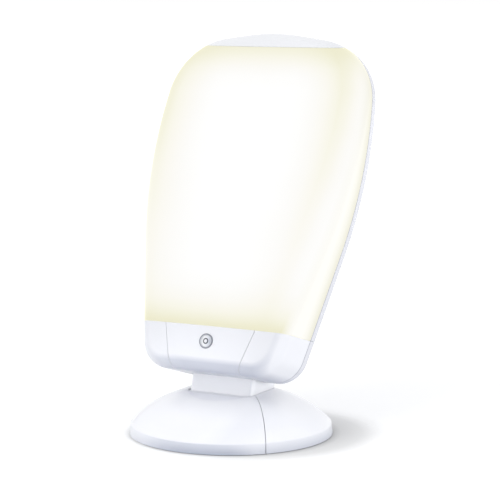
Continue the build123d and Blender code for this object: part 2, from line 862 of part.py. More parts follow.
with BuildPart() as rear_skin:
    add(rear_form(0))
    add(rear_form(head_wall), mode=Mode.SUBTRACT)
    add(outline_ring(head_wall, lip_inner, -band_width, -band_width + lip_length))
    add(outline_ring(lip_outer, lip_inner, -band_width - lip_length, -band_width))
    add(along_y(boss_radius, chassis_back, rear_inner, case_screw_places))
    add(along_y(case_screw_radius + screw_clearance, chassis_back, rear_depth, case_screw_places),
        mode=Mode.SUBTRACT)
    add(along_y(case_screw_head_radius + screw_clearance, screw_seat, rear_depth, case_screw_places),
        mode=Mode.SUBTRACT)

with BuildPart() as rear_cover:
    add(rear_skin.part)
    add(above(screen_bottom, joint_gap / 2), mode=Mode.INTERSECT)
    for row in vent_rows:
        with BuildSketch(Plane.XZ.offset(-rear_inner + head_wall)):
            with Locations((0, row)):
                with GridLocations(0, vent_pitch, 1, vent_count):
                    SlotOverall(vent_length, vent_width)
        extrude(amount=-3 * head_wall, mode=Mode.SUBTRACT)
write(rear_cover, "rear_cover", head_place)

with BuildPart() as rear_lower_housing:
    add(rear_skin.part)
    add(above(screen_bottom, -joint_gap / 2), mode=Mode.SUBTRACT)
    add(neck_block(neck_clearance, 0, neck_rear_top), mode=Mode.SUBTRACT)
    add(socket_block(inlet_body_width + 2 * inlet_clearance, inlet_body_height + 2 * inlet_clearance,
                     rear_inner - head_wall, rear_depth + head_wall), mode=Mode.SUBTRACT)
write(rear_lower_housing, "rear_lower_housing", head_place)

with BuildPart() as case_screws:
    add(along_y(case_screw_radius, chassis_front, screw_seat, case_screw_places))
    add(along_y(case_screw_head_radius, screw_seat, screw_seat + case_screw_head, case_screw_places))
write(case_screws, "case_screws", head_place)

# ================================================================ frame inside the head

holder_x = lamp_spacing / 2
lamp_wire_holes = mirrored_x(holder_x, holder_wire_z)

with BuildPart() as chassis_plate:
    with BuildSketch(Plane.XZ.offset(-chassis_front)):
        with Locations((0, (chassis_bottom + chassis_top) / 2)):
            Rectangle(2 * chassis_half_x, chassis_top - chassis_bottom)
    extrude(amount=-chassis_thickness)
    add(along_y(strut_screw_radius, chassis_front, chassis_back, strut_screw_places), mode=Mode.SUBTRACT)
    add(along_y(case_screw_radius, chassis_front, chassis_back, case_screw_places), mode=Mode.SUBTRACT)
    add(along_y(wire_hole_radius, chassis_front, chassis_back, lamp_wire_holes + switch_wire_holes),
        mode=Mode.SUBTRACT)
write(chassis_plate, "chassis_plate", head_place)

pillar_places = [(x, z) for x in (-pillar_x, pillar_x) for z in pillar_rows]
with BuildPart() as reflector_pillars:
    add(along_y(pillar_radius, reflector_y + reflector_thickness, chassis_front, pillar_places))
write(reflector_pillars, "reflector_pillars", head_place)

wing_x = reflector_flat + reflector_wing * cos(radians(reflector_wing_angle))
wing_y = reflector_y - reflector_wing * sin(radians(reflector_wing_angle))
with BuildPart() as reflector:
    with BuildSketch(Plane.XY.offset(reflector_bottom)):
        with BuildLine():
            Polyline((-wing_x, wing_y), (-reflector_flat, reflector_y), (reflector_flat, reflector_y),
                     (wing_x, wing_y), (wing_x, wing_y + reflector_thickness),
                     (reflector_flat, reflector_y + reflector_thickness),
                     (-reflector_flat, reflector_y + reflector_thickness),
                     (-wing_x, wing_y + reflector_thickness), close=True)
        make_face()
    extrude(amount=reflector_top - reflector_bottom)
write(reflector, "reflector", head_place)

# ================================================================ light

lamp_base_top = lamp_base_bottom + lamp_base_height
lamp_top = lamp_base_bottom + lamp_length
holder_back = lamp_y + holder_depth / 2

for side, word in ((-1, "left"), (1, "right")):
    middle = side * holder_x
    legs = [(middle - tube_spacing / 2, lamp_y), (middle + tube_spacing / 2, lamp_y)]

    with BuildPart() as lamp_tube:
        add(along_z(tube_radius, lamp_base_top, lamp_top, legs))
        fillet(lamp_tube.faces().sort_by(Axis.Z)[-2:].edges(), tube_end_round)
        with BuildSketch(Plane.YZ.offset(legs[0][0])):
            with Locations((lamp_y, lamp_top - tube_end_round - bridge_drop)):
                Circle(bridge_radius)
        extrude(amount=tube_spacing)
    write(lamp_tube, f"lamp_tube_{word}", head_place)

    with BuildPart() as lamp_base:
        add(slab(Plane((middle, lamp_y, lamp_base_bottom)), lamp_base_width, lamp_base_depth,
                 lamp_base_height, lamp_base_corner))
    write(lamp_base, f"lamp_base_{word}", head_place)

    with BuildPart() as lampholder:
        add(slab(Plane((middle, lamp_y, lamp_base_bottom - holder_height)), holder_width, holder_depth,
                 holder_height))
        with Locations((middle, holder_back, lamp_base_bottom - holder_height)):
            Box(holder_foot_width, chassis_front - holder_back, holder_foot_height,
                align=(Align.CENTER, Align.MIN, Align.MIN))
    write(lampholder, f"lampholder_{word}", head_place)

    with BuildPart() as lamp_clip:
        band_height = 2 * (tube_radius + clip_gap + clip_wall)
        with BuildSketch(Plane.XY.offset(clip_band_z)):
            with Locations((middle, lamp_y)):
                SlotCenterToCenter(tube_spacing, band_height)
                SlotCenterToCenter(tube_spacing, band_height - 2 * clip_wall, mode=Mode.SUBTRACT)
        extrude(amount=clip_band)
        band_back = lamp_y + band_height / 2 - clip_wall / 2
        with Locations((middle, band_back, clip_band_z)):
            Box(clip_foot_width, reflector_y - band_back, clip_band,
                align=(Align.CENTER, Align.MIN, Align.MIN))
    write(lamp_clip, f"lamp_clip_{word}", head_place)

# ================================================================ electronic ballast and wires

driver_length = driver_top - driver_bottom
driver_middle = (driver_top + driver_bottom) / 2
tab_back = chassis_back + chassis_thickness
driver_screw_places = [(0, driver_bottom - driver_tab / 2), (0, driver_top + driver_tab / 2)]

with BuildPart() as electronic_ballast:
    with Locations((0, chassis_back, driver_middle)):
        Box(2 * driver_half_x, driver_depth, driver_length, align=(Align.CENTER, Align.MIN, Align.CENTER))
    fillet(electronic_ballast.edges().filter_by(Axis.Y), driver_round)
    with Locations((0, chassis_back, driver_middle)):
        Box(driver_tab_width, chassis_thickness, driver_length + 2 * driver_tab,
            align=(Align.CENTER, Align.MIN, Align.CENTER))
    add(along_y(driver_screw_radius, chassis_back, tab_back, driver_screw_places), mode=Mode.SUBTRACT)
write(electronic_ballast, "electronic_ballast", head_place)

with BuildPart() as ballast_screws:
    add(along_y(driver_screw_radius, chassis_back, tab_back, driver_screw_places))
    add(along_y(2 * driver_screw_radius, tab_back, tab_back + machine_screw_head, driver_screw_places))
write(ballast_screws, "ballast_screws", head_place)


def wire(points):
    """A wire through the given points, each corner rounded as widely as its runs allow."""
    corners = [Vector(*point) for point in points]
    radii = []
    for before, corner, after in zip(corners, corners[1:], corners[2:]):
        turn = radians((corner - before).get_angle(after - corner))
        shorter = min((corner - before).length, (after - corner).length)
        radii.append(wire_bend_share * shorter / tan(turn / 2))
    with BuildPart(mode=Mode.PRIVATE) as tube:
        with BuildLine() as route:
            FilletPolyline(*corners, radius=radii)
        with BuildSketch(Plane(origin=route.line @ 0, z_dir=route.line % 0)):
            Circle(wire_radius)
        sweep()
    return tube.part


for side, word in ((-1, "left"), (1, "right")):
    with BuildPart() as lamp_wire:
        add(wire([
            (side * wire_exit_x, wire_y, driver_bottom),
            (side * wire_exit_x, wire_y, driver_bottom - wire_straight),
            (side * holder_x, wire_y, holder_wire_z + wire_straight),
            (side * holder_x, wire_y, holder_wire_z),
            (side * holder_x, holder_back, holder_wire_z),
        ]))
    write(lamp_wire, f"lamp_wire_{word}", head_place)

inlet_back = rear_depth - inlet_depth
with BuildPart() as supply_wires:
    for side in (-1, 1):
        add(wire([
            (side * inlet_pin_spacing / 2, inlet_back, inlet_z),
            (side * inlet_pin_spacing / 2, wire_y, inlet_z),
            (side * inlet_pin_spacing / 2, wire_y, driver_bottom),
        ]))
write(supply_wires, "supply_wires", head_place)

# ================================================================ mains inlet

inlet_pins_places = mirrored_x(inlet_pin_spacing / 2, inlet_z)
with BuildPart() as mains_inlet:
    add(socket_block(inlet_body_width, inlet_body_height, inlet_back, rear_depth))
    add(socket_block(inlet_flange_width, inlet_flange_height, rear_depth, rear_depth + inlet_flange))
    add(socket_block(socket_width, socket_height, rear_depth + inlet_flange - socket_depth,
                     rear_depth + 2 * inlet_flange), mode=Mode.SUBTRACT)
write(mains_inlet, "mains_inlet", head_place)

with BuildPart() as inlet_pins:
    socket_floor = rear_depth + inlet_flange - socket_depth
    add(along_y(inlet_pin_radius, socket_floor, socket_floor + inlet_pin_length, inlet_pins_places))
write(inlet_pins, "inlet_pins", head_place)

# ================================================================ button and switch

ring_front = front_y(button_z) - ring_proud
button_front = ring_front - button_proud

with BuildPart() as button_ring:
    add(along_y(ring_radius, ring_front, sleeve_front, button_place))
    fillet(button_ring.faces().sort_by(Axis.Y)[0].edges(), ring_round)
    add(along_y(sleeve_radius, sleeve_front, sleeve_back, button_place))
    add(along_y(button_radius + button_clearance, ring_front, sleeve_back, button_place),
        mode=Mode.SUBTRACT)
write(button_ring, "button_ring", head_place)

button_axis = Axis((0, 0, button_z), (0, 1, 0))
stem_end = switch_front - button_travel - button_flange_gap
with BuildPart() as power_button:
    with BuildSketch(Plane(origin=(0, 0, button_z), x_dir=(0, 1, 0), z_dir=(1, 0, 0))):
        with BuildLine():
            face = TangentArc((button_front, 0), (button_front + button_dome, button_radius),
                              tangent=(0, 1))
            Polyline(face @ 1, (flange_front, button_radius), (flange_front, button_flange_radius),
                     (flange_back, button_flange_radius), (flange_back, button_stem_radius),
                     (stem_end, button_stem_radius), (stem_end, 0), face @ 0)
        make_face()
        with Locations((button_front, button_mark_radius)):
            Rectangle(2 * button_mark_depth, button_mark_width, mode=Mode.SUBTRACT)
    revolve(axis=button_axis)
write(power_button, "power_button", head_place)

with BuildPart() as button_spring:
    spring_length = switch_front - flange_back - 2 * spring_end_gap - 2 * spring_wire
    spring_start = (0, flange_back + spring_end_gap + spring_wire, button_z)
    with BuildLine() as coil:
        Helix(spring_length / spring_turns, spring_length, spring_radius, spring_start, (0, 1, 0))
    with BuildSketch(Plane(origin=coil.line @ 0, z_dir=coil.line % 0)):
        Circle(spring_wire)
    sweep()
write(button_spring, "button_spring", head_place)

bracket_back = switch_back + switch_bracket_thickness
with BuildPart() as switch_body:
    switch_plane = Plane.XZ.offset(-switch_back).shift_origin((0, switch_back, button_z))
    add(slab(switch_plane, switch_size, switch_size, switch_depth))
write(switch_body, "switch_body", head_place)

with BuildPart() as switch_bracket:
    with BuildSketch(Plane.XZ.offset(-bracket_back)):
        with Locations((0, button_z)):
            SlotCenterToCenter(2 * switch_post_x, switch_bracket_height)
    extrude(amount=switch_bracket_thickness)
    add(along_y(switch_screw_radius, switch_back, bracket_back, switch_posts), mode=Mode.SUBTRACT)
write(switch_bracket, "switch_bracket", head_place)

with BuildPart() as switch_screws:
    add(along_y(switch_screw_radius, switch_back - switch_screw_length, bracket_back, switch_posts))
    add(along_y(2 * switch_screw_radius, bracket_back, bracket_back + machine_screw_head, switch_posts))
write(switch_screws, "switch_screws", head_place)

with BuildPart() as switch_wires:
    switch_top = button_z + switch_size / 2
    switch_middle = (switch_front + switch_back) / 2
    for side in (-1, 1):
        add(wire([
            (side * switch_wire_x, switch_middle, switch_top),
            (side * switch_wire_x, switch_middle, switch_top + switch_wire_rise),
            (side * switch_wire_x, strut_front - switch_wire_gap, switch_wire_hole_z - switch_wire_slope),
            (side * switch_wire_x, wire_y, switch_wire_hole_z + switch_wire_slope),
            (side * switch_wire_x, wire_y, driver_bottom),
        ]))
write(switch_wires, "switch_wires", head_place)
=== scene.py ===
import json
from math import cos, pi, radians, sin

import bmesh
import bpy
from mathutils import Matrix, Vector

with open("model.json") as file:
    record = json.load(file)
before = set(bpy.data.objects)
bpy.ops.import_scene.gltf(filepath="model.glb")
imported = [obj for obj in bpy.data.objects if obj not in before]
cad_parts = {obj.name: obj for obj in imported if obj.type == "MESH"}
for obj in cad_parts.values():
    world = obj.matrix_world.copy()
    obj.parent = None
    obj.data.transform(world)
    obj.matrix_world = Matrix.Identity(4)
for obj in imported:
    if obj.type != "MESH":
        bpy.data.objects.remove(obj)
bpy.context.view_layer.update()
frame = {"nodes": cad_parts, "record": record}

# -- places on the lamp, in metres

HINGE = (0.0, -0.0053, 0.025)
LEAN = radians(16.7)          # of the lamp head, backwards
BUTTON_HEIGHT = 0.0855        # of the button's axis above the hinge, in the upright head
DISH_MIDDLE_Y = -0.0099       # of the round dish in the base, before the neck
DISH_RADIUS = 0.0521
DISH_EDGE = 0.0006            # width over which the dish's tint fades
DISH_BACK = 0.0300            # the dish ends this far in front of the base's middle, at the neck

# -- tints that pale surfaces turn to where less light reaches them

UNDER_GREY = (0.42, 0.45, 0.55)
RIM_GREY = (0.36, 0.39, 0.47)
LINE_GREY = (0.46, 0.47, 0.53)

# Most of a noise lies between these two, so this range of it is stretched over what it varies.
NOISE_LOW, NOISE_HIGH = 0.3, 0.7

scene = bpy.context.scene
scene.view_settings.view_transform = "Standard"


# ================================================================ node helpers


class Nodes:
    """The node tree of a material or the world, with short calls for the nodes that it is built from."""

    def __init__(self, owner, output="ShaderNodeOutputMaterial"):
        owner.use_nodes = True
        self.owner = owner
        self.tree = owner.node_tree
        self.tree.nodes.clear()
        self.output = self.add(output)

    def add(self, kind, **settings):
        node = self.tree.nodes.new(kind)
        for name, value in settings.items():
            setattr(node, name, value)
        return node

    def link(self, source, target):
        self.tree.links.new(source, target)

    def feed(self, target, value):
        """Link a socket, or set a plain value. A colour of three numbers gets its fourth."""
        if isinstance(value, bpy.types.NodeSocket):
            self.link(value, target)
        elif isinstance(value, tuple):
            target.default_value = (*value, 1.0)
        else:
            target.default_value = value

    # places and directions

    def place(self):
        """Object coordinates, in metres in the row frame."""
        return self.add("ShaderNodeTexCoord").outputs["Object"]

    def mapped(self, vector, kind, **values):
        node = self.add("ShaderNodeMapping", vector_type=kind)
        self.link(vector, node.inputs["Vector"])
        for name, value in values.items():
            node.inputs[name].default_value = value
        return node.outputs["Vector"]

    def upright_place(self):
        """Object coordinates of the head set upright, from its hinge."""
        return self.mapped(self.place(), "TEXTURE", Location=HINGE, Rotation=(-LEAN, 0, 0))

    def facing(self):
        """The parts of the surface's own direction."""
        return self.split(self.add("ShaderNodeNewGeometry").outputs["Normal"])

    def split(self, vector):
        node = self.add("ShaderNodeSeparateXYZ")
        self.link(vector, node.inputs[0])
        return node.outputs

    # numbers

    def math(self, operation, a, b=0.0, clamp=False):
        node = self.add("ShaderNodeMath", operation=operation, use_clamp=clamp)
        self.feed(node.inputs[0], a)
        self.feed(node.inputs[1], b)
        return node.outputs[0]

    def product(self, a, b):
        return self.math("MULTIPLY", a, b)

    def one_minus(self, value):
        return self.math("SUBTRACT", 1.0, value)

    def hypot(self, a, b):
        return self.math("SQRT", self.math("ADD", self.product(a, a), self.product(b, b)))

    def noise(self, vector, scale, detail=3.0, roughness=0.55):
        node = self.add("ShaderNodeTexNoise")
        self.link(vector, node.inputs["Vector"])
        node.inputs["Scale"].default_value = scale
        node.inputs["Detail"].default_value = detail
        node.inputs["Roughness"].default_value = roughness
        return node.outputs["Fac"]

    def span(self, value, low, high, out_low, out_high):
        """Map a value from one range to another, clamped."""
        node = self.add("ShaderNodeMapRange")
        self.link(value, node.inputs["Value"])
        limits = {"From Min": low, "From Max": high, "To Min": out_low, "To Max": out_high}
        for name, number in limits.items():
            node.inputs[name].default_value = number
        return node.outputs["Result"]

    def spread(self, noise, low, high):
        """A noise stretched over a range."""
        return self.span(noise, NOISE_LOW, NOISE_HIGH, low, high)

    def uneven(self, vector, scale, low, high):
        """A number that drifts between two others."""
        return self.spread(self.noise(vector, scale), low, high)

    def curve(self, value, points):
        """A number read off a line through (input, output) points, with outputs from 0 to 1."""
        low, high = points[0][0], points[-1][0]
        stops = [((at - low) / (high - low), (out, out, out)) for at, out in points]
        grey = self.ramp(self.span(value, low, high, 0.0, 1.0), stops)
        return self.product(grey, 1.0)

    # colours

    def ramp(self, value, stops):
        node = self.add("ShaderNodeValToRGB")
        elements = node.color_ramp.elements
        while len(elements) < len(stops):
            elements.new(0.5)
        for element, (at, colour) in zip(elements, stops):
            element.position = at
            element.color = (*colour, 1.0)
        self.link(value, node.inputs["Fac"])
        return node.outputs["Color"]

    def mix(self, factor, a, b):
        node = self.add("ShaderNodeMix", data_type="RGBA")
        # by number, because numbers and colours have sockets of the same names
        for socket, value in ((0, factor), (6, a), (7, b)):
            self.feed(node.inputs[socket], value)
        return node.outputs[2]

    # shaders

    def bump(self, height, distance, strength):
        node = self.add("ShaderNodeBump")
        node.inputs["Strength"].default_value = strength
        node.inputs["Distance"].default_value = distance
        self.link(height, node.inputs["Height"])
        return node.outputs["Normal"]

    def shader(self, kind, **values):
        node = self.add(kind)
        for name, value in values.items():
            self.feed(node.inputs[name.replace("_", " ")], value)
        return node.outputs[0]

    def seen(self):
        """1 for what the camera sees directly, in a reflection or through glass, 0 for bounced light."""
        rays = self.add("ShaderNodeLightPath").outputs
        direct = self.math("ADD", rays["Is Camera Ray"], rays["Is Glossy Ray"], clamp=True)
        return self.math("ADD", direct, rays["Is Transmission Ray"], clamp=True)

    def bounced_or_seen(self, bounced, shown):
        """One shader for bounced light and another for what is seen."""
        node = self.add("ShaderNodeMixShader")
        self.link(self.seen(), node.inputs[0])
        self.link(bounced, node.inputs[1])
        self.link(shown, node.inputs[2])
        return node.outputs[0]

    def surface(self, shader):
        self.link(shader, self.output.inputs["Surface"])
        return self.owner

    def principled(self, **values):
        return self.surface(self.shader("ShaderNodeBsdfPrincipled", **values))


def material(name):
    return Nodes(bpy.data.materials.new(name))


# ================================================================ materials


def plastic(name, colour, shade, roughness, coat, grain=0.00002, grain_scale=900.0):
    """Moulded plastic: slow drift between two tints, fine moulded grain and uneven gloss."""
    n = material(name)
    place = n.place()
    tint = n.mix(n.span(n.noise(place, 9.0), 0.35, 0.65, 0.0, 1.0), colour, shade)
    return n.principled(
        Base_Color=tint,
        Roughness=n.uneven(place, 60.0, roughness - 0.04, roughness + 0.05),
        Coat_Weight=coat,
        Coat_Roughness=0.12,
        Normal=n.bump(n.noise(place, grain_scale, 2.0), grain, 0.5),
    )


def metal(name, colour, shade, roughness=0.32, stretch=(40.0, 900.0, 40.0)):
    """Sheet or turned metal: streaks drawn out along the work, in colour, gloss and relief."""
    n = material(name)
    place = n.place()
    streaks = n.noise(n.mapped(place, "POINT", Scale=stretch), 1.0, 4.0, 0.6)
    return n.principled(
        Base_Color=n.mix(n.spread(streaks, 0.0, 1.0), colour, shade),
        Metallic=1.0,
        Roughness=n.uneven(place, 45.0, roughness - 0.06, roughness + 0.1),
        Normal=n.bump(streaks, 0.00003, 0.5),
    )


# -- white shell


def shell_white(name, fresh=(0.860, 0.865, 0.900), drift=(0.854, 0.860, 0.896), extra=None):
    """Cool white gloss plastic with painted shade where it turns to the table and round the front's right
    corner.

    extra adds a piece's own painted light or shade.
    """
    n = material(name)
    place = n.place()
    tint = n.mix(n.span(n.noise(place, 7.0), 0.35, 0.65, 0.0, 1.0), fresh, drift)
    facing = n.facing()
    # painted shade on the sides that turn down to the table, less on the right and at the left end
    down = n.curve(facing["Z"], [(-1.0, 0.85), (-0.60, 0.66), (-0.10, 0.64), (0.08, 0.38), (0.30, 0.03),
                                 (1.0, 0.0)])
    not_right = n.curve(facing["X"], [(-1.0, 0.25), (-0.5, 0.25), (-0.15, 1.0), (0.15, 1.0), (0.65, 0.0),
                                      (1.0, 0.0)])
    not_left_end = n.span(n.split(place)["X"], -0.090, -0.030, 0.45, 1.0)
    tint = n.mix(n.product(n.product(down, not_left_end), not_right), tint, UNDER_GREY)
    # painted shade round the rounded corner between the front and the right side
    corner = n.curve(facing["X"], [(-1.0, 0.0), (0.10, 0.0), (0.30, 0.15), (0.45, 0.12), (0.65, 0.0),
                                   (1.0, 0.0)])
    tint = n.mix(corner, tint, UNDER_GREY)
    if extra:
        tint = extra(n, tint)
    return n.principled(
        Base_Color=tint,
        Roughness=n.uneven(place, 25.0, 0.285, 0.315),
        Coat_Weight=0.3,
        Coat_Roughness=0.1,
        Normal=n.bump(n.noise(place, 30.0, 1.0), 0.00001, 0.2),
    )


def rear_edge_shade(n, tint):
    """Painted shade as a grey line along each edge of the rear housing's straight rim."""
    depth = n.split(n.upright_place())["Y"]
    line = n.curve(depth, [(-0.0100, 0.0), (-0.0095, 1.0), (-0.0082, 0.9), (-0.0070, 0.0), (0.0004, 0.0),
                           (0.0020, 0.7), (0.0032, 0.5), (0.0050, 0.0)])
    return n.mix(line, tint, LINE_GREY)


def base_shading(n, tint):
    """Painted shade round the foot of the rim, most of all in front, and painted light towards the neck,
    with less of it in the dish as painted shade in the recess.
    """
    axes = n.split(n.place())
    x, y, z = axes["X"], axes["Y"], axes["Z"]
    forwards = n.product(y, -1.0)
    # painted shade on the rim band, darkest in front and on the right
    # 0 in front and a quarter turn on the right
    front = n.curve(n.math("ARCTAN2", x, forwards),
                    [(-3.15, 0.15), (-0.85, 0.2), (-0.45, 0.45), (0.0, 0.95), (0.5, 1.0), (0.75, 0.60),
                     (1.2, 0.60), (1.7, 0.60), (3.15, 0.15)])
    low_rim = n.curve(z, [(0.0, 1.0), (0.004, 0.85), (0.009, 0.55), (0.0125, 0.35), (0.0150, 0.0)])
    tint = n.mix(n.product(front, low_rim), tint, RIM_GREY)
    # painted light on the middle of the dome, where the head shades it
    inner = n.curve(n.hypot(x, y), [(0.0, 1.0), (0.070, 1.0), (0.095, 0.4), (0.118, 0.0)])
    tint = n.mix(inner, tint, (0.945, 0.945, 0.960))
    # less painted light in the dish before the neck: painted shade in the recess
    from_middle = n.hypot(x, n.math("SUBTRACT", y, DISH_MIDDLE_Y))
    dish = n.product(n.span(from_middle, DISH_RADIUS, DISH_RADIUS + DISH_EDGE, 1.0, 0.0),
                     n.math("GREATER_THAN", forwards, DISH_BACK))
    return n.mix(dish, tint, (0.91, 0.91, 0.94))


# lit and shaded copies of the one white plastic: painted shade and light on the base, the rear darker as
# painted shade, the neck and cap paler as painted light
base_white_painted = shell_white("white_plastic_base_painted_shade_and_light", extra=base_shading)
rear_white_shaded = shell_white("white_plastic_rear_painted_shade", (0.735, 0.740, 0.785), (0.725, 0.731, 0.778), rear_edge_shade)
neck_white_lit = shell_white("white_plastic_neck_painted_light", (0.915, 0.917, 0.935), (0.905, 0.908, 0.930))
cap_white_lit = shell_white("white_plastic_cap_painted_light", (0.915, 0.918, 0.935), (0.905, 0.910, 0.930))

# -- light screen


def lit_screen():
    """Opal plastic, lit: white over the lamps, pale yellow beyond them, with a painted highlight along a
    band at the right.
    """
    n = material("lit_screen")
    place = n.upright_place()
    axes = n.split(place)
    x, y, z = axes["X"], axes["Y"], axes["Z"]
    half_width = n.curve(z, [(0.100, 0.102), (0.150, 0.113), (0.200, 0.124), (0.260, 0.135),
                             (0.320, 0.1445), (0.380, 0.150), (0.430, 0.149), (0.460, 0.142),
                             (0.485, 0.126), (0.510, 0.100)])
    # yellow of the sides, by the distance from each, and weaker low down
    left = n.curve(n.math("ADD", half_width, x),
                   [(0.0, 0.92), (0.012, 0.80), (0.025, 0.58), (0.040, 0.40), (0.060, 0.20), (0.078, 0.06),
                    (0.095, 0.0)])
    # near the right edge the yellow falls off again: a painted highlight along the rounded edge
    right = n.curve(n.math("SUBTRACT", half_width, x),
                    [(0.0, 0.22), (0.004, 0.26), (0.010, 0.36), (0.020, 0.60), (0.030, 0.70), (0.040, 0.54),
                     (0.050, 0.36), (0.062, 0.22), (0.078, 0.07), (0.095, 0.0)])
    high = n.curve(z, [(0.10, 0.45), (0.20, 0.45), (0.26, 0.57), (0.32, 0.75), (0.38, 0.92), (0.43, 1.0),
                       (0.50, 1.0)])
    sides = n.product(n.math("ADD", left, right, clamp=True), high)
    # yellow of the bottom and the top
    ends = n.curve(z, [(0.100, 0.98), (0.109, 0.92), (0.117, 0.76), (0.126, 0.54), (0.140, 0.26),
                       (0.158, 0.08), (0.180, 0.0), (0.425, 0.0), (0.446, 0.09), (0.460, 0.28),
                       (0.470, 0.50), (0.480, 0.70), (0.490, 0.84), (0.502, 0.92)])
    warm = n.one_minus(n.product(n.one_minus(sides), n.one_minus(ends)))
    warm = n.math("ADD", warm, n.spread(n.noise(place, 14.0, 2.0), -0.02, 0.02), clamp=True)
    front = n.ramp(warm, [(0.0, (1.0, 1.0, 1.0)), (0.2, (0.974, 0.965, 0.939)), (0.4, (0.956, 0.939, 0.871)),
                          (0.6, (0.930, 0.913, 0.799)), (0.8, (0.885, 0.868, 0.700)),
                          (1.0, (0.820, 0.795, 0.565))])
    # the right side wall, which yellows only towards the rear housing
    near_rear = n.curve(y, [(-0.0360, 0.0), (-0.0230, 0.35), (-0.0150, 0.75), (-0.0085, 1.0)])
    wall = n.mix(near_rear, (0.965, 0.955, 0.910), (0.810, 0.792, 0.655))
    to_right = n.span(n.facing()["X"], 0.55, 0.95, 0.0, 1.0)
    return n.principled(
        Base_Color=(0.035, 0.035, 0.033),
        Roughness=n.uneven(place, 50.0, 0.34, 0.42),
        Specular_IOR_Level=0.2,
        Emission_Color=n.mix(to_right, front, wall),
        Emission_Strength=0.955,
        Normal=n.bump(n.noise(place, 800.0, 2.0), 0.00001, 0.4),
    )


# -- lamps


def tube_glass():
    """A white phosphor coat that glows, grey at the cathode ends."""
    n = material("tube_glass")
    place = n.upright_place()
    end = n.curve(n.split(place)["Z"], [(0.100, 1.0), (0.112, 0.5), (0.130, 0.0), (0.495, 0.0)])
    coat = n.mix(n.uneven(place, 120.0, 0.0, 1.0), (0.93, 0.93, 0.91), (0.90, 0.90, 0.89))
    return n.principled(
        Base_Color=n.mix(end, coat, (0.45, 0.44, 0.43)),
        Roughness=n.uneven(place, 60.0, 0.1, 0.16),
        Emission_Color=n.mix(end, (1.0, 0.99, 0.96), (0.30, 0.26, 0.20)),
        Emission_Strength=1.0,
        Coat_Weight=1.0,
    )


# -- button and its ring


def from_button_axis(n, axes):
    return n.hypot(axes["X"], n.math("SUBTRACT", axes["Z"], BUTTON_HEIGHT))


def grey_ring():
    """Grey outside, with a brighter turned edge inside."""
    n = material("grey_ring")
    place = n.upright_place()
    inside = n.span(from_button_axis(n, n.split(place)), 0.0078, 0.0084, 1.0, 0.0)
    grey = n.mix(n.noise(place, 300.0), (0.28, 0.29, 0.33), (0.20, 0.21, 0.25))
    return n.principled(
        Base_Color=n.mix(inside, grey, (0.64, 0.65, 0.69)),
        Roughness=n.uneven(place, 200.0, 0.285, 0.36),
        Coat_Weight=0.4,
        Coat_Roughness=0.1,
    )


def silvered():
    """Turned about its own axis, with a painted highlight left of the middle and painted shade to the right,
    and a dark ring round the middle.
    """
    n = material("silvered_cap")
    axes = n.split(n.upright_place())
    radius = from_button_axis(n, axes)
    rings = n.add("ShaderNodeTexNoise", noise_dimensions="1D")
    rings.inputs["Scale"].default_value = 9000.0
    n.link(radius, rings.inputs["W"])
    turned = rings.outputs["Fac"]
    # painted highlight and painted shade across the cap, from left to right
    tint = n.ramp(n.span(axes["X"], -0.0072, 0.0072, 0.0, 1.0),
                  [(0.0, (0.80, 0.81, 0.84)), (0.3, (0.95, 0.95, 0.97)), (0.55, (0.84, 0.85, 0.89)),
                   (0.8, (0.68, 0.70, 0.77)), (1.0, (0.40, 0.42, 0.50))])
    tint = n.mix(n.spread(turned, 0.0, 0.12), tint, (0.40, 0.41, 0.46))
    dark_ring = n.curve(radius, [(0.0, 0.0), (0.0021, 0.0), (0.0026, 1.0), (0.0036, 1.0), (0.0041, 0.0),
                                 (0.01, 0.0)])
    return n.principled(
        Base_Color=n.mix(dark_ring, tint, (0.08, 0.085, 0.11)),
        Metallic=0.5,
        Roughness=n.spread(turned, 0.30, 0.40),
        Normal=n.bump(turned, 0.00001, 0.4),
    )


# -- foot ring and ballast weights


def dark(name, colours, colour_scale, gloss_scale, gloss, grain_scale, grain_detail, grain):
    """A dark matt finish with a grain."""
    n = material(name)
    place = n.place()
    return n.principled(
        Base_Color=n.mix(n.noise(place, colour_scale), *colours),
        Roughness=n.uneven(place, gloss_scale, *gloss),
        Normal=n.bump(n.noise(place, grain_scale, grain_detail), grain, 0.6),
    )


